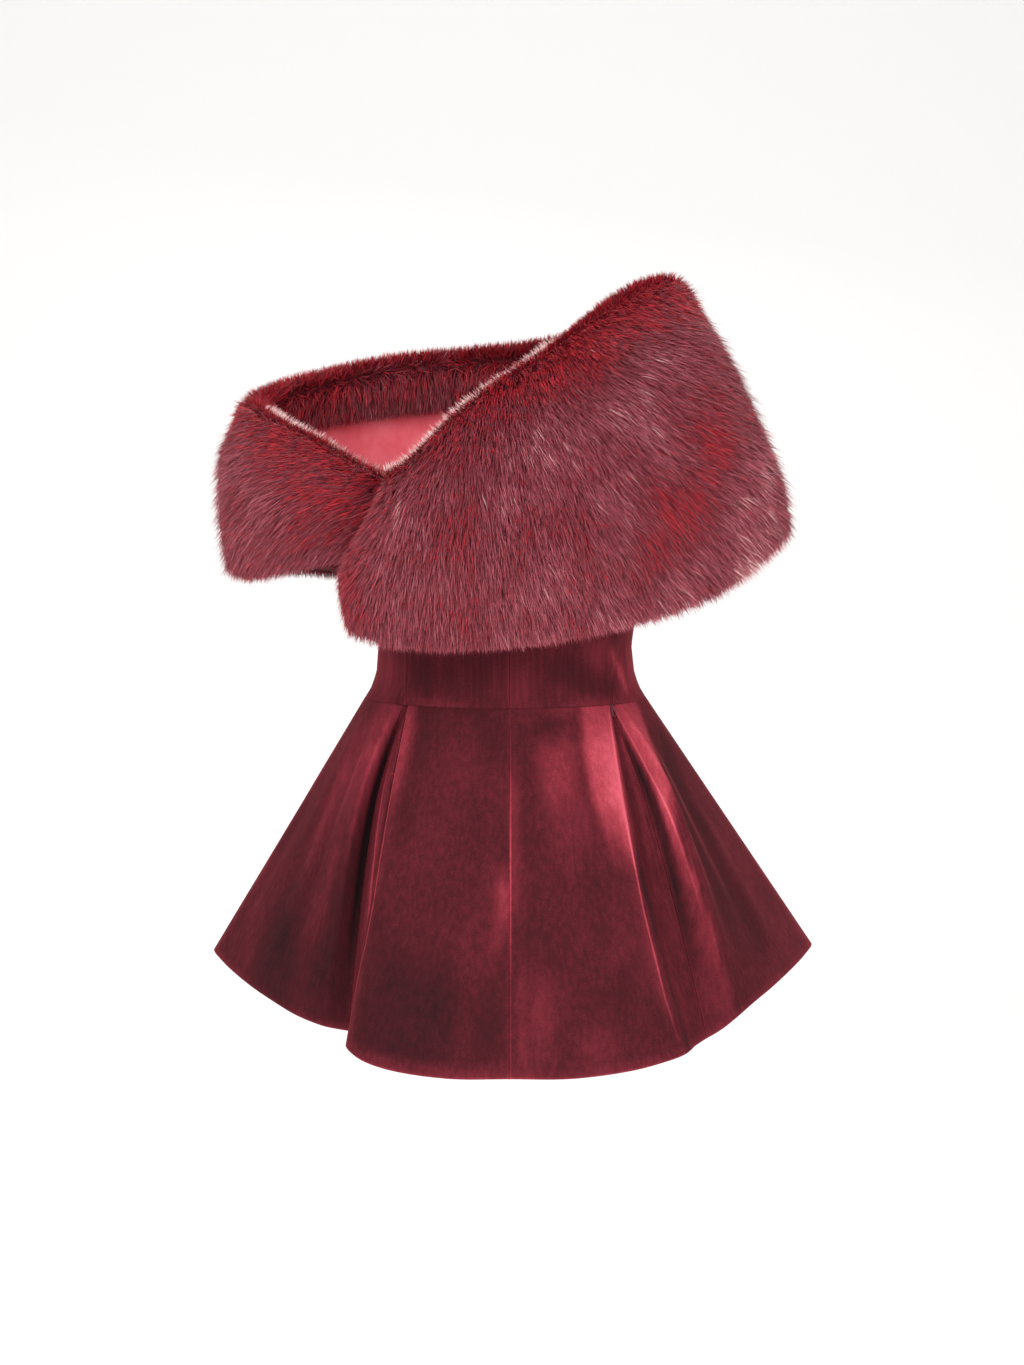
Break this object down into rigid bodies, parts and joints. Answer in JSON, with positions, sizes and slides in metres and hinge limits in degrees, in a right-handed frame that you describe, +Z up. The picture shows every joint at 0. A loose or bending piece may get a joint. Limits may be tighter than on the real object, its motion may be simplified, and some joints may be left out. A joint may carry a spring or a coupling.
{
  "type": "mini dress",
  "caption": "Fitted velvet mini dress with a flared pleated skirt and a wide off-shoulder wrap collar of long fur, in its hollow worn form.",
  "frame": {"origin": "centre of the waist seam, where the fitted bodice grips its wearer", "axes": "+Z up the body, -Y the front of the dress, +X the side where the collar rises over the shoulder"},
  "size_m": [0.596, 0.4836, 0.7096],
  "materials": {
    "velvet": "burgundy stretch velvet with a crushed, directional nap",
    "fur": "long-pile faux fur, dark burgundy at the root, crimson, with frosted mauve tips",
    "fur_facing": "the same faux fur turned in, seen darker from the root side",
    "lining": "smooth matt rose-pink lining"
  },
  "bodies": {
    "root": {"bodice_front_left": "velvet", "bodice_side_front_left": "velvet", "bodice_side_back_left": "velvet", "bodice_back_left": "velvet", "bodice_back_right": "velvet", "bodice_side_back_right": "velvet", "bodice_side_front_right": "velvet", "bodice_front_right": "velvet", "skirt_front_left": "velvet", "skirt_side_front_left": "velvet", "skirt_side_back_left": "velvet", "skirt_back_left": "velvet", "skirt_back_right": "velvet", "skirt_side_back_right": "velvet", "skirt_side_front_right": "velvet", "skirt_front_right": "velvet", "collar_left_wrap": "fur", "collar_back": "fur", "collar_right_wrap": "fur", "lining_left": "lining", "lining_back": "lining", "lining_right": "lining", "facing_left": "fur_facing", "facing_back": "fur_facing", "facing_right": "fur_facing"}
  },
  "joints": []
}
